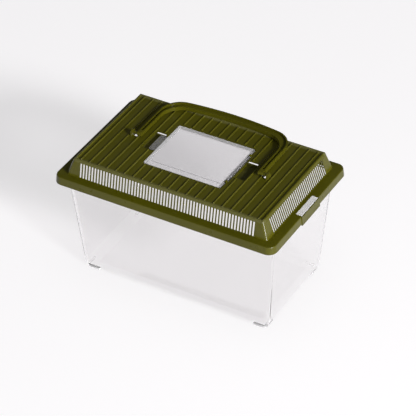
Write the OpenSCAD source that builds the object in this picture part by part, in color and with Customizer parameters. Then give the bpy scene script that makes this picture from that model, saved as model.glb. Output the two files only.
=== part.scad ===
// Plastic pet keeper: a clear tapered tank under an olive vented lid,
// with a clear feeding hatch and a folding carry handle.
// Millimetres. The table top is z = 0, x runs along the long side, y to the back.

/* [Tank] */
// Length of the tank at its floor
base_l = 235; // [225:1:245]
// Width of the tank at its floor
base_w = 127; // [120:1:134]
// Height of the tank with its feet
tank_h = 132.3; // [110:0.1:160]
// Thickness of the tank wall
tank_wall = 2; // [1.6:0.1:2.6]
// Thickness of the tank floor
floor_t = 2.2; // [1.6:0.1:3]
// Corner radius of the tank at its floor
base_r = 8; // [6:0.5:12]
// Corner radius of the tank at its mouth
mouth_r = 10; // [8:0.5:14]
// Height of the corner feet
foot_h = 2; // [1:0.1:3]
// Length of each leg of a corner foot
foot_l = 16; // [12:1:30]
// Width of each leg of a corner foot
foot_w = 3; // [2:0.5:8]

/* [Lid] */
// Length of the lid at the bottom of its skirt
lid_l = 274; // [270:0.5:284]
// Width of the lid at the bottom of its skirt
lid_w = 170.5; // [166:0.5:180]
// Corner radius of the lid
lid_r = 10.5; // [8:0.5:14]
// Height of the skirt round the lid
skirt_h = 9.4; // [8:0.2:14]
// Thickness of the skirt
skirt_t = 1.6; // [1.2:0.1:2]
// How far the skirt leans in at its top
skirt_draft = 0.8; // [0.4:0.1:1.2]
// Thickness of the flange that rests on the tank
flange_t = 1.8; // [1.4:0.1:2.4]

// Ledge of the flange round the raised part, at the two ends
ledge_end = 12.25; // [11:0.25:16]
// Ledge of the flange round the raised part, at front and back
ledge_side = 10.25; // [9:0.25:14]

/* [Dome] */
// How far an end wall of the raised part leans in
lean_end_w = 7.1; // [4:0.1:9]
// How far the front and back walls of the raised part lean in
lean_side_w = 4.25; // [3:0.05:6]
// Height of the raised part above the flange
dome_h = 20.6; // [16:0.2:30]
// Radius of the corner ridges
dome_r = 3; // [2:0.5:5]
// Thickness of the corner posts
post_t = 1.4; // [1:0.1:1.8]

/* [Vents] */
// Spacing of the slots in the front and back walls
long_pitch = 3.63; // [3.2:0.01:4.5]
// Spacing of the slots in the end walls
end_pitch = 3.53; // [3.2:0.01:4.5]
// Plain wall left beside the slots in the front and back walls
long_margin = 9.4; // [8:0.1:14]
// Plain wall left beside the slots in the end walls
end_margin = 11.3; // [8:0.1:14]
// Width of a slot
slot_w = 2.2; // [1.4:0.1:2.4]
// Thickness of the slotted walls
vent_t = 0.8; // [0.6:0.1:1]

/* [Deck] */
// Depth of the deck below the lid's top edge
deck_drop = 1.5; // [1.3:0.1:2.5]
// Thickness of the deck
deck_t = 1.4; // [1.2:0.1:2]
// Spacing of the ribs along the deck
rib_pitch = 11; // [9:0.1:14]
// Width of a rib at its foot
rib_w = 2; // [1.4:0.1:3]
// Height of a rib
rib_h = 1.2; // [0.4:0.1:1.2]

/* [Hatch] */
// Length of the hatch
hatch_l = 96; // [86:1:98]
// Width of the hatch
hatch_w = 78; // [70:1:84]
// Thickness of the hatch
hatch_t = 2; // [1.6:0.1:2.6]
// Length of the two wells beside the hatch, from front to back
well_w = 31; // [26:1:36]
// Reach of the wells away from the hatch frame
well_l = 14.6; // [12:0.2:17]
// Depth of the wells below the deck
well_d = 4.8; // [4.4:0.1:7]

/* [Handle] */
// Width over the arms of the handle
bail_w = 157; // [152:1:162]
// Reach of the handle from its pivots
bail_reach = 78.2; // [76:0.2:82]
// Width of an arm
arm_w = 5.5; // [4.5:0.1:7]
// Width of the grip
grip_w = 9.2; // [8:0.1:12]
// Thickness of the handle
bail_t = 4.6; // [4:0.1:6]
// Radius of the pivot pins
pin_r = 1.6; // [1.2:0.1:1.8]

/* [Hidden] */
$fn = 48;

// Shared: overrun of the cuts, thickness of a hull's slabs, faces of a hull's rounds
cut = 1;
slab = 0.02;
hull_fn = 32;

// Tank: bevel under the floor, inset of the feet, thickness of the rim and its reach past
// the mouth, at the ends and at front and back
base_bevel = 2;
foot_inset = 0.8;
tank_rim_t = 1.8;
rim_end = 4.7;
rim_side = 8.75;

// Seats and gaps between the moulded pieces
seat_gap = 0.2;
rim_clear = 0.6;
lug_clear = 0.4;
hatch_gap = 0.6;
pin_clear = 0.06;

// Lid: rounding of the flange's upper edge, in from the side and down from the top, and the
// shares of both at its middle step
lip_in = 1.6;
lip_drop = 1.6;
lip_in_share = 0.3;
lip_drop_share = 0.3;

// Latch at the right end: slot in the flange, finger tab on the skirt, lug on the tank
latch_l = 38;
latch_w = 7.9;
tab_out = 0.6;
tab_t = 1.6;
tab_lap = 0.3;
tab_drop = 2.4;
tab_side = 1;
tab_ribs = 12;
tab_rib_w = 1;
tab_rib_h = 0.2;
lug_groove_w = 0.6;
lug_groove_d = 0.6;
lug_groove_in = 3;
lug_groove_out = 2;

// Vents: height of the bands under and over the slots, and their ends past the last slot
vent_foot = 0.6;
vent_head = 0.2;
vent_end = 1.5;

// Deck: rounding, top and inner slope of the edge round it
edge_r = 2;
edge_w = 0.9;
edge_slope = 1;

// Ribs of the deck: top width, reach into the edge, plain deck at the two ends and plain deck
// round the hatch
rib_top_w = 0.5;
rib_lap = 1;
rib_side = 5;
rib_gap = 0.8;

// Slits in the deck behind the two wells
slit_l = 12;
slit_w = 1.8;

// Hatch frame: wall, ledge under the hatch and how proud the hatch stands
frame_t = 1.6;
ledge_w = 1.2;
ledge_t = 1.4;
hatch_proud = 0.2;

// Wells: wall and floor
well_t = 1.4;

// Hatch: corner radius, sunk middle of the top and lifting tab
hatch_r = 2;
panel_sink = 0.9;
panel_front = 7.5;
panel_back = 3.4;
panel_end = 3;
lift_l = 8.6;
lift_w = 27;
lift_t = 1.4;
lift_r = 1.5;
lift_side = 0.6;

// Hatch hinge: barrel on the hatch's edge, pins, bearings in the frame
barrel_r = 1.4;
barrel_drop = 0.2;
barrel_w = 49;
hinge_pin_r = 0.9;
hinge_pin_l = 3.2;
bearing_w = 3.6;
bearing_r = 1.5;
bearing_gap = 0.3;

// Handle: corner radius, bow of the grip, channel in its face
bail_corner_r = 25;
bail_bow_r = 420;
lip_w = 1.3;
channel_d = 2.4;
channel_start = 5;
corner_steps = 12;
bow_steps = 16;

// Ears that hold the handle, and the holes that core them
ear_gap = 5.2;
ear_t = 2.2;
ear_r = 3.2;
ear_foot = 9;
pin_short = 0.2;
core_w = 4.2;
core_l = 5.6;
core_y = 2;
core_gap = 0.4;

// Heights, all worked up from the tank
rim_z = tank_h - tank_rim_t;
flange_z = tank_h + seat_gap;
flange_top = flange_z + flange_t;
skirt_z = flange_top - skirt_h;
top_z = flange_top + dome_h;
deck_z = top_z - deck_drop;
under_z = deck_z - deck_t;
frame_z = deck_z - well_d - well_t;
hatch_top = deck_z + hatch_proud;
hatch_z = hatch_top - hatch_t;
pivot_z = top_z + seat_gap + bail_t / 2;

// The tank's rim fits inside the skirt
rim_in = skirt_draft + skirt_t + rim_clear;
tank_rim_l = lid_l - 2 * rim_in;
tank_rim_w = lid_w - 2 * rim_in;
tank_rim_r = lid_r - rim_in;
mouth_l = tank_rim_l - 2 * rim_end;
mouth_w = tank_rim_w - 2 * rim_side;

// Raised part of the lid, at its foot and at its top
dome_l = lid_l - 2 * ledge_end;
dome_w = lid_w - 2 * ledge_side;
deck_l = dome_l - 2 * lean_end_w;
deck_w = dome_w - 2 * lean_side_w;

// Where the two flats of the deck's rounded edge start and end
edge_near = edge_r * (1 - tan(30));
edge_far = edge_r * (1 - tan(15));

// Latch slot and tab, measured from the middle of the lid
tab_x = lid_l / 2 + tab_out;
slot_x1 = tab_x - tab_t;
slot_x0 = slot_x1 - latch_w;

// Lean of the vented walls
lean_long = atan(lean_side_w / dome_h);
lean_end = atan(lean_end_w / dome_h);
long_slots = floor((deck_l - 2 * long_margin + long_pitch - slot_w) / long_pitch);
end_slots = floor((deck_w - 2 * end_margin + end_pitch - slot_w) / end_pitch);
vent_long_l = (long_slots - 1) * long_pitch + slot_w + 2 * vent_end;
vent_end_l = (end_slots - 1) * end_pitch + slot_w + 2 * vent_end;

// Hatch frame and wells
hole_l = hatch_l - 2 * ledge_w;
hole_w = hatch_w - 2 * ledge_w;
rebate_l = hatch_l + 2 * hatch_gap;
rebate_w = hatch_w + 2 * hatch_gap;
frame_l = rebate_l + 2 * frame_t;
frame_w = rebate_w + 2 * frame_t;
well_x1 = frame_l / 2 + well_l;

// Hinge axis of the hatch, and the notch it needs for each bearing
hinge_x = hatch_l / 2;
hinge_z = hatch_top - barrel_drop;
bearing_y = barrel_w / 2 + bearing_gap;
notch_x = hinge_x - bearing_r - bearing_gap;
notch_y = bearing_y + bearing_w + bearing_gap;

// Ears and pins of the handle
ear_x = bail_w / 2 + ear_gap;
pin_l = ear_gap + ear_t - pin_short;

// A rounded rectangle about the origin
module rrect(l, w, r) {
    square([l - 2 * r, w], center = true);
    square([l, w - 2 * r], center = true);
    for (sx = [-1, 1], sy = [-1, 1])
        translate([sx * (l / 2 - r), sy * (w / 2 - r)])
            circle(r);
}

// One thin layer of a tapered body
module layer(z, l, w, r) {
    translate([0, 0, z])
        linear_extrude(slab)
            rrect(l, w, r, $fn = hull_fn);
}

// A box about the z axis, from z0 to z1
module block(l, w, z0, z1) {
    translate([-l / 2, -w / 2, z0])
        cube([l, w, z1 - z0]);
}

// A box from one corner to the opposite one
module span(p, q) {
    translate(p)
        cube(q - p);
}

// Tank

module tank_outside() {
    hull() {
        layer(foot_h, base_l - 2 * base_bevel, base_w - 2 * base_bevel, base_r - base_bevel);
        layer(foot_h + base_bevel, base_l, base_w, base_r);
        layer(tank_h - slab, mouth_l, mouth_w, mouth_r);
    }
}

// The hollow runs past the mouth at the slope of the walls
module tank_inside() {
    rise = tank_h - foot_h - base_bevel;
    grow_l = (mouth_l - base_l) * cut / rise;
    grow_w = (mouth_w - base_w) * cut / rise;
    in2 = 2 * tank_wall;
    bevel2 = 2 * base_bevel;
    hull() {
        layer(foot_h + floor_t, base_l - in2 - bevel2, base_w - in2 - bevel2,
              base_r - tank_wall - base_bevel);
        layer(foot_h + floor_t + base_bevel, base_l - in2, base_w - in2, base_r - tank_wall);
        layer(tank_h + cut, mouth_l - in2 + grow_l, mouth_w - in2 + grow_w,
              mouth_r - tank_wall);
    }
}

// L-shaped feet, one under each corner, joined to the floor
module feet() {
    floor_l = base_l - 2 * base_bevel - 2 * foot_inset;
    floor_w = base_w - 2 * base_bevel - 2 * foot_inset;
    linear_extrude(foot_h + slab)
        intersection() {
            difference() {
                rrect(floor_l, floor_w, base_r - base_bevel - foot_inset);
                square([floor_l - 2 * foot_w, floor_w - 2 * foot_w], center = true);
            }
            for (sx = [-1, 1], sy = [-1, 1])
                translate([sx * (floor_l - foot_l) / 2, sy * (floor_w - foot_l) / 2])
                    square(foot_l, center = true);
        }
}

// The lug at the right end that stands in the lid's latch slot, grooved along its top
module lug() {
    x0 = slot_x0 + lug_clear;
    x1 = slot_x1 - lug_clear;
    half = latch_l / 2 - lug_clear;
    top = flange_top - seat_gap;
    difference() {
        span([x0, -half, rim_z], [x1, half, top]);
        for (x = [x0 + lug_groove_in, x1 - lug_groove_out])
            span([x - lug_groove_w / 2, -half - cut, top - lug_groove_d],
                 [x + lug_groove_w / 2, half + cut, top + cut]);
    }
}

module tank() {
    color([0.86, 0.87, 0.88, 0.4]) {
        difference() {
            union() {
                tank_outside();
                translate([0, 0, rim_z])
                    linear_extrude(tank_rim_t)
                        rrect(tank_rim_l, tank_rim_w, tank_rim_r);
                lug();
            }
            tank_inside();
        }
        feet();
    }
}

// Lid

// A body that tapers from one rectangle at z0 to another at z1, with flat sides
module taper(l0, w0, l1, w1, z0, z1) {
    intersection() {
        rotate([90, 0, 0])
            linear_extrude(max(w0, w1) + 2 * cut, center = true)
                polygon([[-l0 / 2, z0], [l0 / 2, z0], [l1 / 2, z1], [-l1 / 2, z1]]);
        rotate([90, 0, 90])
            linear_extrude(max(l0, l1) + 2 * cut, center = true)
                polygon([[-w0 / 2, z0], [w0 / 2, z0], [w1 / 2, z1], [-w1 / 2, z1]]);
    }
}

// Raised part, its upper edge rounded by two flats that touch a round of radius edge_r
module dome_outside() {
    intersection() {
        hull() {
            layer(flange_top, dome_l, dome_w, dome_r);
            layer(top_z - slab, deck_l, deck_w, dome_r);
        }
        edge_flat(edge_near, edge_far);
        edge_flat(edge_far, edge_near);
    }
}

// Everything under a flat that starts this far in from the deck's edge and ends this far down
module edge_flat(in, down) {
    rise = dome_h + cut;
    grow = 2 * rise * in / down;
    taper(deck_l - 2 * in + grow, deck_w - 2 * in + grow, deck_l - 2 * in, deck_w - 2 * in,
          top_z - rise, top_z);
}

// The hollow of the dome, from the flange up to the underside of the deck
module dome_inside() {
    slope_l = (dome_l - deck_l) / dome_h;
    slope_w = (dome_w - deck_w) / dome_h;
    rise = under_z - flange_top;
    foot_dl = dome_l - 2 * post_t;
    foot_dw = dome_w - 2 * post_t;
    taper(foot_dl + cut * slope_l, foot_dw + cut * slope_w,
          foot_dl - rise * slope_l, foot_dw - rise * slope_w, flange_top - cut, under_z);
}

// Flange with the skirt that hangs from it
module skirt() {
    slim = 2 * skirt_draft;
    step_in = lip_in_share * lip_in;
    difference() {
        hull() {
            layer(skirt_z, lid_l, lid_w, lid_r);
            layer(flange_top - lip_drop, lid_l - slim, lid_w - slim, lid_r - skirt_draft);
            layer(flange_top - lip_drop_share * lip_drop, lid_l - slim - 2 * step_in,
                  lid_w - slim - 2 * step_in, lid_r - skirt_draft - step_in);
            layer(flange_top - slab, lid_l - slim - 2 * lip_in, lid_w - slim - 2 * lip_in,
                  lid_r - skirt_draft - lip_in);
        }
        hull() {
            layer(skirt_z - cut, lid_l - 2 * skirt_t, lid_w - 2 * skirt_t, lid_r - skirt_t);
            layer(flange_z - slab, lid_l - 2 * skirt_t - slim, lid_w - 2 * skirt_t - slim,
                  lid_r - skirt_t - skirt_draft);
        }
    }
}

// Finger tab on the right end, with upright grip ribs
module latch_tab() {
    half = latch_l / 2 + tab_side;
    pitch = 2 * half / tab_ribs;
    z0 = skirt_z - tab_drop;
    z1 = flange_top - lip_drop_share * lip_drop;
    rotate([90, 0, 0])
        linear_extrude(2 * half, center = true)
            polygon([[slot_x1, z0], [tab_x, z0], [tab_x, skirt_z], [tab_x - skirt_draft, z1], [slot_x1, z1]]);
    for (i = [0 : tab_ribs - 1])
        translate([0, -half + (i + 1 / 2) * pitch, 0])
            span([tab_x - skirt_draft, -tab_rib_w / 2, z0 + tab_rib_h],
                 [tab_x + tab_rib_h, tab_rib_w / 2, skirt_z + tab_rib_h]);
}

// The flange is open under the dome and at the latch
module lid_rim() {
    color([0.36, 0.35, 0.13]) {
        difference() {
            skirt();
            block(dome_l - 2 * post_t, dome_w - 2 * post_t, flange_z - cut, flange_top + cut);
            span([slot_x0, -latch_l / 2, skirt_z - cut],
                 [slot_x1 + tab_lap, latch_l / 2, flange_top + cut]);
        }
        latch_tab();
    }
}

// A slotted wall, laid flat: slots up the slope, one thin panel
module vent_panel(length, slots, pitch, lean) {
    v0 = vent_foot / cos(lean);
    v1 = (under_z - flange_top - vent_head) / cos(lean);
    translate([0, 0, -vent_t])
        linear_extrude(vent_t)
            difference() {
                translate([-length / 2, -cut])
                    square([length, v1 + 2 * cut]);
                for (i = [0 : slots - 1])
                    translate([(i - (slots - 1) / 2) * pitch - slot_w / 2, v0])
                        square([slot_w, v1 - v0]);
            }
}

// A slotted wall stood up at its lean, facing -y, trimmed level at top and bottom
module vent_wall(length, slots, pitch, half, lean) {
    color([0.36, 0.35, 0.13])
        intersection() {
            translate([0, -half, flange_top])
                rotate([90 - lean, 0, 0])
                    vent_panel(length, slots, pitch, lean);
            block(length, 2 * half + 2 * cut, flange_top, under_z);
        }
}

module vent_front() {
    vent_wall(vent_long_l, long_slots, long_pitch, dome_w / 2, lean_long);
}

module vent_back() {
    rotate([0, 0, 180])
        vent_wall(vent_long_l, long_slots, long_pitch, dome_w / 2, lean_long);
}

module vent_right() {
    rotate([0, 0, 90])
        vent_wall(vent_end_l, end_slots, end_pitch, dome_l / 2, lean_end);
}

module vent_left() {
    rotate([0, 0, -90])
        vent_wall(vent_end_l, end_slots, end_pitch, dome_l / 2, lean_end);
}

// The sunk top of the lid, with a slope down from its edge
module deck_recess() {
    edge2 = 2 * (edge_far + edge_w);
    slope2 = 2 * edge_slope;
    grow = slope2 * cut / deck_drop;
    taper(deck_l - edge2 - slope2, deck_w - edge2 - slope2,
          deck_l - edge2 + grow, deck_w - edge2 + grow, deck_z, top_z + cut);
}

// Ribs from front to back, left out round the hatch frame and the wells
module ribs() {
    count = 2 * floor((deck_l / 2 - rib_side - rib_w) / rib_pitch) + 1;
    length = deck_w - 2 * (edge_far + edge_w + edge_slope - rib_lap);
    foot = rib_w / 2;
    head = rib_top_w / 2;
    difference() {
        for (i = [0 : count - 1])
            translate([(i - (count - 1) / 2) * rib_pitch, 0, deck_z - slab])
                rotate([90, 0, 0])
                    linear_extrude(length, center = true)
                        polygon([[-foot, 0], [foot, 0], [head, rib_h + slab], [-head, rib_h + slab]]);
        block(frame_l + 2 * rib_gap, frame_w + 2 * rib_gap, under_z, top_z + cut);
        block(2 * (well_x1 + rib_gap), well_w + 2 * rib_gap, under_z, top_z + cut);
    }
}

// Cut-outs of the deck over the wells, each with a slit behind its back wall
module well_holes() {
    slit_x = (frame_l / 2 + well_x1) / 2;
    block(2 * well_x1, well_w, under_z - cut, top_z);
    for (side = [-1, 1])
        translate([side * slit_x, 0, 0])
            span([-slit_l / 2, 0, under_z - cut], [slit_l / 2, well_w / 2 + well_t + slit_w, top_z]);
}

// A lug that holds one pivot pin of the handle
module ear() {
    translate([ear_x, 0, 0])
        rotate([90, 0, 90])
            difference() {
                linear_extrude(ear_t)
                    hull() {
                        translate([0, pivot_z])
                            circle(ear_r);
                        translate([-ear_foot / 2, deck_z - deck_t / 2])
                            square([ear_foot, deck_t / 2]);
                    }
                translate([0, pivot_z, -cut])
                    cylinder(h = ear_t + 2 * cut, r = pin_r + pin_clear);
            }
}

// Sunk deck, the edge round it and the four corner posts down to the flange
module lid_deck() {
    color([0.29, 0.28, 0.07])
        difference() {
            union() {
                difference() {
                    dome_outside();
                    deck_recess();
                }
                ribs();
                for (side = [0, 1])
                    mirror([side, 0, 0])
                        ear();
            }
            dome_inside();
            block(vent_long_l, dome_w + 2 * cut, flange_top - cut, under_z);
            block(dome_l + 2 * cut, vent_end_l, flange_top - cut, under_z);
            block(frame_l, frame_w, under_z - cut, top_z);
            well_holes();
            for (side = [-1, 1])
                translate([side * (ear_x - core_gap - core_w / 2), core_y, 0])
                    block(core_w, core_l, under_z - cut, top_z);
        }
}

// The frame round the hatch opening: wall, ledge, hinge bearings and the notch for the tab.
// Its end walls reach down beside the wells
module hatch_frame() {
    ledge_z = hatch_z - seat_gap;
    foot_z = ledge_z - ledge_t;
    trough_z = hinge_z - barrel_r - bearing_gap;
    trough_y = bearing_y + bearing_w;
    color([0.29, 0.28, 0.07]) {
        difference() {
            union() {
                block(frame_l, frame_w, foot_z, deck_z);
                block(frame_l, well_w + 2 * well_t, frame_z, deck_z);
            }
            block(hole_l, hole_w, frame_z - cut, deck_z + cut);
            block(rebate_l, rebate_w, ledge_z, deck_z + cut);
            block(rebate_l, rebate_w, frame_z - cut, foot_z);
            span([hole_l / 2 - cut, -trough_y, trough_z], [frame_l / 2 + cut, trough_y, deck_z + cut]);
            span([-frame_l / 2 - cut, -lift_w / 2 - lift_side, hatch_top - lift_t - seat_gap],
                 [-hatch_l / 2, lift_w / 2 + lift_side, deck_z + cut]);
        }
        for (side = [0, 1])
            mirror([0, side, 0])
                translate([0, bearing_y + bearing_w, 0])
                    rotate([90, 0, 0])
                        linear_extrude(bearing_w)
                            bearing_shape(ledge_z);
    }
}

// Side view of one hinge bearing, standing on the ledge and the frame's wall
module bearing_shape(foot_z) {
    difference() {
        union() {
            translate([hinge_x, hinge_z])
                circle(bearing_r);
            translate([hinge_x - bearing_r, foot_z - slab])
                square([2 * bearing_r, hinge_z - foot_z + slab]);
        }
        translate([hinge_x, hinge_z])
            circle(hinge_pin_r + pin_clear);
    }
}

// A well beside the frame: three walls and a floor under a cut-out of the deck
module well() {
    x0 = frame_l / 2;
    color([0.24, 0.23, 0.06])
        difference() {
            span([x0, -well_w / 2 - well_t, frame_z], [well_x1 + well_t, well_w / 2 + well_t, under_z]);
            span([x0 - cut, -well_w / 2, frame_z + well_t], [well_x1, well_w / 2, under_z + cut]);
        }
}

module hinge_well() {
    well();
}

module finger_well() {
    mirror([1, 0, 0])
        well();
}

// Hatch: clear plate with a sunk middle, a lifting tab and a hinge barrel with its pins
module hatch() {
    panel_x = hatch_l / 2 - panel_end;
    color([0.8, 0.81, 0.83, 0.5]) {
        difference() {
            union() {
                translate([0, 0, hatch_z])
                    linear_extrude(hatch_t)
                        rrect(hatch_l, hatch_w, hatch_r);
                translate([-hatch_l / 2, 0, hatch_top - lift_t])
                    linear_extrude(lift_t)
                        rrect(2 * lift_l, lift_w, lift_r);
            }
            span([-panel_x, -hatch_w / 2 + panel_front, hatch_top - panel_sink],
                 [panel_x, hatch_w / 2 - panel_back, hatch_top + cut]);
            for (side = [0, 1])
                mirror([0, side, 0])
                    span([notch_x, barrel_w / 2, hatch_z - cut],
                         [hatch_l / 2 + cut, notch_y, hatch_top + cut]);
        }
        translate([hinge_x, -barrel_w / 2, hinge_z])
            rotate([-90, 0, 0])
                cylinder(h = barrel_w, r = barrel_r);
        translate([hinge_x, -barrel_w / 2 - hinge_pin_l, hinge_z])
            rotate([-90, 0, 0])
                cylinder(h = barrel_w + 2 * hinge_pin_l, r = hinge_pin_r);
    }
}

// Handle

function arc(cx, cy, r, a0, a1, n) =
    [for (i = [0 : n]) [cx + r * cos(a0 + (a1 - a0) * i / n), cy + r * sin(a0 + (a1 - a0) * i / n)]];

// Plan of the handle: straight arms, round corners and a gently bowed grip, each arc tangent
// to the next, from y0 back to the given reach
function bail_plan(half, reach, y0) =
    let (
        corner_r = bail_corner_r,
        span_r = bail_bow_r - corner_r,
        cx = half - corner_r,
        cy = reach - bail_bow_r + sqrt(span_r * span_r - cx * cx),
        turn = asin(cx / span_r)
    )
    concat(
        [[half, y0]],
        arc(cx, cy, corner_r, 0, 90 - turn, corner_steps),
        arc(0, reach - bail_bow_r, bail_bow_r, 90 - turn, 90 + turn, bow_steps),
        arc(-cx, cy, corner_r, 90 + turn, 180, corner_steps),
        [[-half, y0]]
    );

// The bail seen from above, drawn in by a margin on both sides of its section
module bail_shape(inset, y0) {
    half = bail_w / 2;
    difference() {
        polygon(bail_plan(half - inset, bail_reach - inset, y0));
        polygon(bail_plan(half - arm_w + inset, bail_reach - grip_w + inset, y0 - cut));
    }
}

module handle() {
    z0 = pivot_z - bail_t / 2;
    color([0.36, 0.36, 0.1]) {
        difference() {
            translate([0, 0, z0])
                linear_extrude(bail_t)
                    bail_shape(0, 0);
            translate([0, 0, z0 + bail_t - channel_d])
                linear_extrude(channel_d + cut)
                    bail_shape(lip_w, channel_start);
        }
        for (side = [0, 1])
            mirror([side, 0, 0])
                translate([bail_w / 2 - arm_w, 0, pivot_z])
                    rotate([0, 90, 0]) {
                        cylinder(h = arm_w, r = bail_t / 2);
                        cylinder(h = arm_w + pin_l, r = pin_r);
                    }
    }
}

tank();
lid_rim();
vent_front();
vent_back();
vent_left();
vent_right();
lid_deck();
hatch_frame();
finger_well();
hinge_well();
hatch();
handle();
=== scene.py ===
import math

import bpy
from mathutils import Matrix, Vector

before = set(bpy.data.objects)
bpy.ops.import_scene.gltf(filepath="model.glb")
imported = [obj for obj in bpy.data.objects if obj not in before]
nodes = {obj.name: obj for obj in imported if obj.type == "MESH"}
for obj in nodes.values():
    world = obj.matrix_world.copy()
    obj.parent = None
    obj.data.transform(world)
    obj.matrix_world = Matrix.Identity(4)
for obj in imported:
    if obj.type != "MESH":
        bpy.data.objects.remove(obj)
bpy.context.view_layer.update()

scene = bpy.context.scene


# ---- camera: fitted to the photograph ----

# Azimuth, elevation and roll; then the distance and the fit's two shifts, in metres
AZ, EL, ROLL = math.radians(30.553), math.radians(37.466), math.radians(-1.167)
DIST, SHIFT_X, SHIFT_Y = 2.7599, 0.006608, 0.065523
# Focal length and side of the picture in pixels, and the sensor's side in millimetres
FOCAL_PX, FRAME_PX, SENSOR = 2455.773, 416, 36
CLIP_END = 50

back = Vector((math.sin(AZ) * math.cos(EL), -math.cos(AZ) * math.cos(EL), math.sin(EL)))
right = Vector((math.cos(AZ), math.sin(AZ), 0))
up = back.cross(right)
cam_x = right * math.cos(ROLL) + up * math.sin(ROLL)
cam_y = up * math.cos(ROLL) - right * math.sin(ROLL)

camera = bpy.data.objects.new("camera", bpy.data.cameras.new("camera"))
scene.collection.objects.link(camera)
turn = Matrix((cam_x, cam_y, back)).transposed().to_4x4()
camera.matrix_world = Matrix.Translation(cam_x * SHIFT_X + cam_y * SHIFT_Y + back * DIST) @ turn
camera.data.sensor_width = SENSOR
camera.data.lens = SENSOR * FOCAL_PX / FRAME_PX
camera.data.clip_end = CLIP_END
scene.camera = camera


# ---- node graphs ----

# Range of a noise's values that is spread out: it seldom leaves it
NOISE_LOW, NOISE_HIGH = 0.3, 0.7
# Length of the slope between the two sides of a mask, in metres
SOFT = 0.0002


class Graph:
    """A node tree, with short calls for making and joining nodes."""

    def __init__(self, tree):
        self.tree = tree
        tree.nodes.clear()

    def add(self, kind, **values):
        node = self.tree.nodes.new("ShaderNode" + kind)
        for key, value in values.items():
            if key in node.inputs.keys():
                node.inputs[key].default_value = value
            else:
                setattr(node, key, value)
        return node

    def link(self, source, target):
        self.tree.links.new(source, target)

    def noise(self, scale, detail):
        place = self.add("TexCoord")
        node = self.add("TexNoise", Scale=scale, Detail=detail, Roughness=0.5)
        self.link(place.outputs["Object"], node.inputs["Vector"])
        return node.outputs["Fac"]

    def axis(self, name):
        """The object's own X, Y or Z in metres."""
        place = self.add("TexCoord")
        split = self.add("SeparateXYZ")
        self.link(place.outputs["Object"], split.inputs["Vector"])
        return split.outputs[name]

    def math(self, operation, a, b=0):
        node = self.add("Math", operation=operation)
        for socket, value in zip(node.inputs, (a, b)):
            if isinstance(value, (int, float)):
                socket.default_value = value
            else:
                self.link(value, socket)
        return node.outputs["Value"]

    def above(self, value, level, soft=SOFT):
        """0 below the level, 1 above it."""
        node = self.add("MapRange")
        node.inputs["From Min"].default_value = level - soft / 2
        node.inputs["From Max"].default_value = level + soft / 2
        self.link(value, node.inputs["Value"])
        return node.outputs["Result"]

    def below(self, value, level, soft=SOFT):
        """1 below the level, 0 above it."""
        return self.math("SUBTRACT", 1, self.above(value, level, soft))

    def between(self, value, low, high):
        """1 from low to high, 0 outside them."""
        return self.math("SUBTRACT", self.above(value, low), self.above(value, high))

    def spread(self, noise, low, high):
        """The noise, spread out from low to high."""
        node = self.add("MapRange")
        node.inputs["From Min"].default_value = NOISE_LOW
        node.inputs["From Max"].default_value = NOISE_HIGH
        node.inputs["To Min"].default_value = low
        node.inputs["To Max"].default_value = high
        self.link(noise, node.inputs["Value"])
        return node.outputs["Result"]

    def bump(self, height, strength, distance):
        node = self.add("Bump", Strength=strength, Distance=distance)
        self.link(height, node.inputs["Height"])
        return node.outputs["Normal"]

    def darkened(self, colour, factor, mask):
        """The colour, times the factor where the mask is 1."""
        node = self.add("MixRGB", Color1=(*colour, 1), Color2=(*[c * factor for c in colour], 1))
        self.link(mask, node.inputs["Fac"])
        return node.outputs["Color"]

    def mix(self, share, first, second):
        """The first shader, with the given share of the second."""
        node = self.add("MixShader")
        self.link(share, node.inputs["Fac"])
        self.link(first, node.inputs[1])
        self.link(second, node.inputs[2])
        return node.outputs["Shader"]

    def output(self, shader, kind="OutputMaterial"):
        self.link(shader, self.add(kind).inputs["Surface"])


def start_material(name):
    material = bpy.data.materials.new(name)
    material.use_nodes = True
    return material, Graph(material.node_tree)


# ---- olive plastic of the lid and handle ----

# Colours, linear
OLIVE = (0.080, 0.076, 0.0022)
OLIVE_DECK = (0.087, 0.082, 0.0032)
OLIVE_HANDLE = (0.086, 0.081, 0.0040)
OLIVE_DARK = (0.066, 0.063, 0.0100)
OLIVE_IOR = 1.36
# Uneven colour: scale, detail, darkest and palest share, and the noise levels that get them
BLOTCH, BLOTCH_SHARES, BLOTCH_LEVELS = (14, 4), (0.93, 1.07), (0.35, 0.65)
# Uneven gloss and the moulded grain: scale and detail, and the grain's height in metres
GLOSS, GRAIN, GRAIN_HEIGHT = (90, 5), (900, 2), 0.0002
# Deck: the height under which it is smoother, and how much
SMOOTH_TOP, SMOOTH_SHARE = 0.1518, 0.5
# Painted highlight on the top of the deck's long edges: where it starts, how softly, and its
# paler colour
EDGE_Y, EDGE_Y_SOFT, EDGE_Z, EDGE_Z_SOFT = 0.0658, 0.0016, 0.1524, 0.0006
PAINTED_HIGHLIGHT_SHARE, PAINTED_HIGHLIGHT_LIFT = 1.05, 0.024


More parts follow.
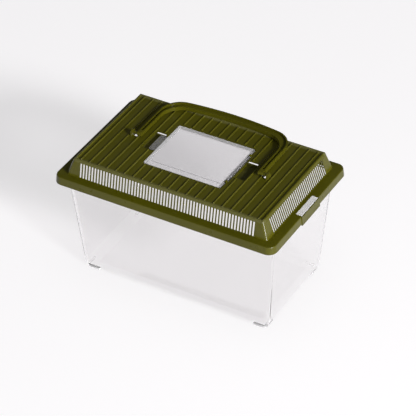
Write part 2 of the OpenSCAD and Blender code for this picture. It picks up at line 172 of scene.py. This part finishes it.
def olive_plastic(name, colour, rough, grain, deck=False):
    """Moulded plastic: slightly uneven colour and gloss, and a fine moulded grain.

    The deck is smoother below its edge, and the top of its long edges gets a painted highlight:
    a paler colour with a little painted sheen, for the light its rounded rim catches."""
    material, g = start_material(name)
    shader = g.add("BsdfPrincipled", IOR=OLIVE_IOR)
    ramp = g.add("ValToRGB")
    for element, position, share in zip(ramp.color_ramp.elements, BLOTCH_LEVELS, BLOTCH_SHARES):
        element.position = position
        element.color = (*[c * share for c in colour], 1)
    g.link(g.noise(*BLOTCH), ramp.inputs["Fac"])
    tone = ramp.outputs["Color"]
    gloss = g.spread(g.noise(*GLOSS), *rough)
    if deck:
        # Painted highlight: the top of the long edges, where the rounded rim catches the light,
        # is painted paler
        painted_highlight = g.add("MixRGB", Color2=(*[c * PAINTED_HIGHLIGHT_SHARE + PAINTED_HIGHLIGHT_LIFT for c in colour], 1))
        outer = g.above(g.math("ABSOLUTE", g.axis("Y")), EDGE_Y, EDGE_Y_SOFT)
        edge = g.math("MULTIPLY", outer, g.above(g.axis("Z"), EDGE_Z, EDGE_Z_SOFT))
        g.link(edge, painted_highlight.inputs["Fac"])
        g.link(tone, painted_highlight.inputs["Color1"])
        tone = painted_highlight.outputs["Color"]
        upper = g.above(g.axis("Z"), SMOOTH_TOP)
        share = g.math("ADD", g.math("MULTIPLY", upper, 1 - SMOOTH_SHARE), SMOOTH_SHARE)
        gloss = g.math("MULTIPLY", gloss, share)
    g.link(tone, shader.inputs["Base Color"])
    g.link(gloss, shader.inputs["Roughness"])
    g.link(g.bump(g.noise(*GRAIN), grain, GRAIN_HEIGHT), shader.inputs["Normal"])
    g.output(shader.outputs["BSDF"])
    return material


# ---- clear plastic of the tank and hatch ----

# Colours, linear: the two tints, and the white of milky plastic, also put on thick parts and
# bright edges as painted light
CLEAR = (0.958, 0.952, 0.955)
CLEAR_GREY = (0.808, 0.799, 0.811)
MILK = (0.96, 0.95, 0.96)
CLEAR_IOR, MILK_ROUGH = 1.45, 0.35
# How much darker painted shade makes thin steps, grooves and the hinge barrel, on clear and on
# milky plastic
CLEAR_PAINTED_SHADE, MILK_PAINTED_SHADE = 0.40, 0.55
# Uneven gloss and slightly wavy faces: scale and detail, and the waves' height in metres
CLEAR_GLOSS, WAVE, WAVE_HEIGHT = (60, 5), (12, 2), 0.001

# Tank's base ring: centres of its corner rounds, the radius outside which the outer wall
# lies, and the wall's height up to which it counts
RING_X, RING_Y, RING_R, RING_TOP, RING_SOFT = 0.1095, 0.0555, 0.0070, 0.0078, 0.0012
# Its underside: how far in it reaches, its top, and the top of the feet
UNDER_X, UNDER_Y, UNDER_TOP, FEET_TOP = 0.1040, 0.0500, 0.0032, 0.0018
# Share of light that goes straight through the feet, and how much more through the rest
FEET_SHARE, MORE_SHARE = 0.20, 0.74

# Tank's latch lug: its inner side and foot, how much white is painted on it as painted light,
# and the two grooves in its top, which get painted shade
LUG_X, LUG_Z, LUG_SHARE = 0.1275, 0.1310, 0.95
GROOVES, GROOVE_Z = ((0.13115, 0.13185), (0.13325, 0.13395)), 0.1315

# Hatch: how milky its plate is, and how much white is painted on its back, left and right
# borders as painted light
PLATE_SHARE, BACK_SHARE, SIDE_SHARE = 0.08, 0.38, 0.65
BACK_Y, LEFT_X, RIGHT_X = 0.0350, (-0.0482, -0.0450), (0.0444, 0.0452)
# Painted shade on the step along its front edge and on the hinge barrel, and how strongly the
# barrel gets it
STEP_Y, STEP_X, BARREL_X, BARREL_SHARE = (-0.03175, -0.03085), -0.0420, 0.0452, 0.80


def tank_ring(g):
    """The outside of the tank's base ring passes light straight through, so it shows pale.

    Its bevel and the last of the walls would else pipe light along the base."""
    x, y, z = (g.math("ABSOLUTE", g.axis(k)) for k in "XYZ")
    past = [g.math("MAXIMUM", g.math("SUBTRACT", v, start), 0)
            for v, start in ((x, RING_X), (y, RING_Y))]
    radius = g.math("SQRT", g.math("ADD", *(g.math("POWER", v, 2) for v in past)))
    wall = g.math("MULTIPLY", g.above(radius, RING_R), g.below(z, RING_TOP, RING_SOFT))
    ring = g.math("MAXIMUM", g.above(x, UNDER_X), g.above(y, UNDER_Y))
    under = g.math("MULTIPLY", ring, g.below(z, UNDER_TOP))
    share = g.math("ADD", FEET_SHARE, g.math("MULTIPLY", g.above(z, FEET_TOP), MORE_SHARE))
    return g.math("MULTIPLY", g.math("MAXIMUM", wall, under), share)


def lug_painted_light(g):
    """The tank's thick clear latch lug gets a white skin: painted light for the light that its
    plastic pipes.
    """
    inside = g.math("MULTIPLY", g.above(g.axis("X"), LUG_X), g.above(g.axis("Z"), LUG_Z))
    return g.math("MULTIPLY", inside, LUG_SHARE)


def lug_painted_shade(g):
    """Painted shade in the two grooves along the top of the latch lug."""
    x = g.axis("X")
    grooves = g.math("ADD", *(g.between(x, *groove) for groove in GROOVES))
    return g.math("MULTIPLY", grooves, g.above(g.axis("Z"), GROOVE_Z))


def hatch_milk_and_painted_light(g):
    """The hatch's plate is faintly milky; its back, left and right borders get more white,
    painted light for their bright edges.
    """
    x, y = g.axis("X"), g.axis("Y")
    sides = g.math("ADD", g.between(x, *LEFT_X), g.between(x, *RIGHT_X))
    borders = g.math("MAXIMUM", g.math("MULTIPLY", g.above(y, BACK_Y), BACK_SHARE),
                     g.math("MULTIPLY", sides, SIDE_SHARE))
    return g.math("ADD", PLATE_SHARE, borders)


def hatch_painted_shade(g):
    """Painted shade on the step along the front edge of the hatch's plate, and on the thick
    hinge barrel.
    """
    x, y = g.axis("X"), g.axis("Y")
    step = g.math("MULTIPLY", g.between(y, *STEP_Y), g.above(x, STEP_X))
    return g.math("MAXIMUM", step, g.math("MULTIPLY", g.above(x, BARREL_X), BARREL_SHARE))


def clear_plastic(name, colour, rough, wave, shade, milk_and_painted_light, painted_shade, straight=None):
    """Clear moulded plastic: refracts and mirrors, and lets the lamps' light through.

    Shade is how much of that light gets through. The other three are masks, called with the
    graph: the first gives the share of a milky white skin, which is also painted light where it
    whitens thick parts and bright edges; the second is 1 where thin steps or thick pieces get
    painted shade; and straight gives the share of light that isn't refracted."""
    material, g = start_material(name)
    # Painted shade: thin steps, grooves and the hinge barrel are darkened in both skins
    mask = painted_shade(g)
    clear = g.add("BsdfPrincipled", IOR=CLEAR_IOR)
    clear.inputs["Transmission Weight"].default_value = 1
    g.link(g.darkened(colour, CLEAR_PAINTED_SHADE, mask), clear.inputs["Base Color"])
    g.link(g.spread(g.noise(*CLEAR_GLOSS), *rough), clear.inputs["Roughness"])
    g.link(g.bump(g.noise(*WAVE), wave, WAVE_HEIGHT), clear.inputs["Normal"])
    skin = clear.outputs["BSDF"]
    if straight:
        window = g.add("BsdfTransparent", Color=(1, 1, 1, 1))
        skin = g.mix(straight(g), skin, window.outputs["BSDF"])
    white = g.add("BsdfPrincipled", Roughness=MILK_ROUGH)
    g.link(g.darkened(MILK, MILK_PAINTED_SHADE, mask), white.inputs["Base Color"])
    # Milky white skin, which is also painted light on thick parts and bright edges
    skin = g.mix(milk_and_painted_light(g), skin, white.outputs["BSDF"])
    through = g.add("BsdfTransparent", Color=(*[c * shade for c in colour], 1))
    path = g.add("LightPath")
    lit = g.math("MAXIMUM", path.outputs["Is Shadow Ray"], path.outputs["Is Diffuse Ray"])
    g.output(g.mix(lit, skin, through.outputs["BSDF"]))
    return material


# ---- the CAD nodes in their materials ----

LID = olive_plastic("olive_lid", OLIVE, (0.26, 0.36), 0.10)
DECK = olive_plastic("olive_deck", OLIVE_DECK, (0.36, 0.48), 0.18, deck=True)
WELL = olive_plastic("olive_well", OLIVE_DARK, (0.34, 0.46), 0.18)
HANDLE = olive_plastic("olive_handle", OLIVE_HANDLE, (0.18, 0.28), 0.08)
TANK = clear_plastic("clear_tank", CLEAR, (0.01, 0.05), 0.004, shade=0.97,
                     milk_and_painted_light=lug_painted_light, painted_shade=lug_painted_shade, straight=tank_ring)
HATCH = clear_plastic("clear_hatch", CLEAR_GREY, (0.02, 0.06), 0.02, shade=0.7,
                      milk_and_painted_light=hatch_milk_and_painted_light, painted_shade=hatch_painted_shade)

# Material of each node, and the width in metres of its softened edges, 0 for none
DRESS = {
    "tank": (TANK, 0.0006), "lid_rim": (LID, 0.0006), "lid_deck": (DECK, 0.00035),
    "vent_front": (LID, 0), "vent_back": (LID, 0), "vent_left": (LID, 0), "vent_right": (LID, 0),
    "hatch_frame": (DECK, 0.0002), "finger_well": (WELL, 0), "hinge_well": (WELL, 0),
    "hatch": (HATCH, 0.0003), "handle": (HANDLE, 0.0004),
}
# Points nearer than this are one; edges sharper than this are softened, in so many steps
WELD, EDGE_ANGLE, EDGE_STEPS = 0.000002, math.radians(28), 3


def dress(node, material, edge):
    """Gives a CAD node its material, and softens its moulded edges by modifiers."""
    obj = nodes[node]
    obj.data.materials.clear()
    obj.data.materials.append(material)
    if not edge:
        return
    weld = obj.modifiers.new("weld", "WELD")
    weld.merge_threshold = WELD
    bevel = obj.modifiers.new("edges", "BEVEL")
    bevel.width = edge
    bevel.segments = EDGE_STEPS
    bevel.limit_method = "ANGLE"
    bevel.angle_limit = EDGE_ANGLE
    bevel.use_clamp_overlap = True
    bevel.harden_normals = False
    shade = obj.modifiers.new("shade", "WEIGHTED_NORMAL")
    shade.keep_sharp = False


for name, (material, edge) in DRESS.items():
    dress(name, material, edge)


# ---- floor ----

# Half its side and how far it lies under the table plane, in metres
FLOOR_HALF, FLOOR_DROP = 6.0, 0.0002
# Colour under the lamps, and the glow that lifts it to white where it is looked at
FLOOR_COLOUR, GLOW_COLOUR, GLOW = (0.585, 0.579, 0.585, 1), (1, 0.985, 1, 1), 0.595


def floor_material():
    """White floor: lit by the lamps, and lifted to white where it is looked at."""
    material, g = start_material("floor_white")
    lit = g.add("BsdfDiffuse", Color=FLOOR_COLOUR)
    glow = g.add("Emission", Color=GLOW_COLOUR)
    path = g.add("LightPath")
    seen = g.math("MAXIMUM", path.outputs["Is Camera Ray"], path.outputs["Is Transmission Ray"])
    seen = g.math("MAXIMUM", seen, path.outputs["Is Glossy Ray"])
    g.link(g.math("MULTIPLY", seen, GLOW), glow.inputs["Strength"])
    both = g.add("AddShader")
    g.link(lit.outputs["BSDF"], both.inputs[0])
    g.link(glow.outputs["Emission"], both.inputs[1])
    g.output(both.outputs["Shader"])
    return material


floor_mesh = bpy.data.meshes.new("floor")
corners = [(x * FLOOR_HALF, y * FLOOR_HALF, 0) for x, y in ((-1, -1), (1, -1), (1, 1), (-1, 1))]
floor_mesh.from_pydata(corners, [], [(0, 1, 2, 3)])
floor = bpy.data.objects.new("floor", floor_mesh)
scene.collection.objects.link(floor)
floor_mesh.materials.append(floor_material())
floor.location.z = -FLOOR_DROP


# ---- world: white where it is looked at, a dim studio where it lights or is mirrored ----

# Steepness of a direction, from 0 at the horizon to 1 straight up, and its brightness there.
# Below the first step it stays as bright as the first
SKY = ((0.10, 0.70), (0.38, 0.03), (0.80, 0.05), (1.0, 0.30))

world = bpy.data.worlds.new("studio")
scene.world = world
world.use_nodes = True
g = Graph(world.node_tree)
place = g.add("TexCoord")
split = g.add("SeparateXYZ")
g.link(place.outputs["Generated"], split.inputs["Vector"])
sky = g.add("ValToRGB")
steps = sky.color_ramp.elements
for index, (height, level) in enumerate(SKY):
    step = steps[index] if index < len(steps) else steps.new(height)
    step.position = height
    step.color = (level, level, level, 1)
g.link(split.outputs["Z"], sky.inputs["Fac"])
path = g.add("LightPath")
seen = g.math("MAXIMUM", path.outputs["Is Camera Ray"], path.outputs["Is Transmission Ray"])
# What is mirrored inside or behind the clear plastic is white too, or the tank shows grey
inner = g.math("MULTIPLY", path.outputs["Is Glossy Ray"],
               g.math("MINIMUM", path.outputs["Transmission Depth"], 1))
white = g.add("MixRGB", Color2=(1, 1, 1, 1))
g.link(g.math("MAXIMUM", seen, inner), white.inputs["Fac"])
g.link(sky.outputs["Color"], white.inputs["Color1"])
background = g.add("Background")
g.link(white.outputs["Color"], background.inputs["Color"])
g.output(background.outputs["Background"], "OutputWorld")


# ---- lamps ----

# The lamps aim at this height over the frame's origin, in metres
AIM_Z = 0.10


def lamp(name, towards, distance, size, level, mirrored=True, lights=True):
    """A square soft lamp; level is the brightness it gives a white surface that faces it.

    It shows in glossy faces only if mirrored, and lights matt ones only if lights."""
    towards = Vector(towards).normalized()
    light = bpy.data.lights.new(name, "AREA")
    light.size = size
    light.energy = level * math.pi * math.pi * distance * distance
    obj = bpy.data.objects.new(name, light)
    scene.collection.objects.link(obj)
    obj.location = Vector((0, 0, AIM_Z)) + towards * distance
    obj.rotation_euler = towards.to_track_quat("Z", "Y").to_euler()
    obj.visible_glossy = mirrored
    obj.visible_diffuse = lights


LOW_RIGHT = (0.905, -0.420, 0.055)

lamp("key", (0.827, -0.342, 0.438), distance=5.0, size=0.8, level=0.96)
lamp("right_low", LOW_RIGHT, distance=4.0, size=0.5, level=0.24)
lamp("ridge_glint", LOW_RIGHT, distance=4.0, size=0.5, level=0.55, lights=False)
lamp("front_fill", (0.05, -0.96, 0.20), distance=4.0, size=2.4, level=0.10, mirrored=False)
lamp("top_soft", (0.1, -0.2, 0.97), distance=4.0, size=2.6, level=0.04)

scene.view_settings.view_transform = "Standard"
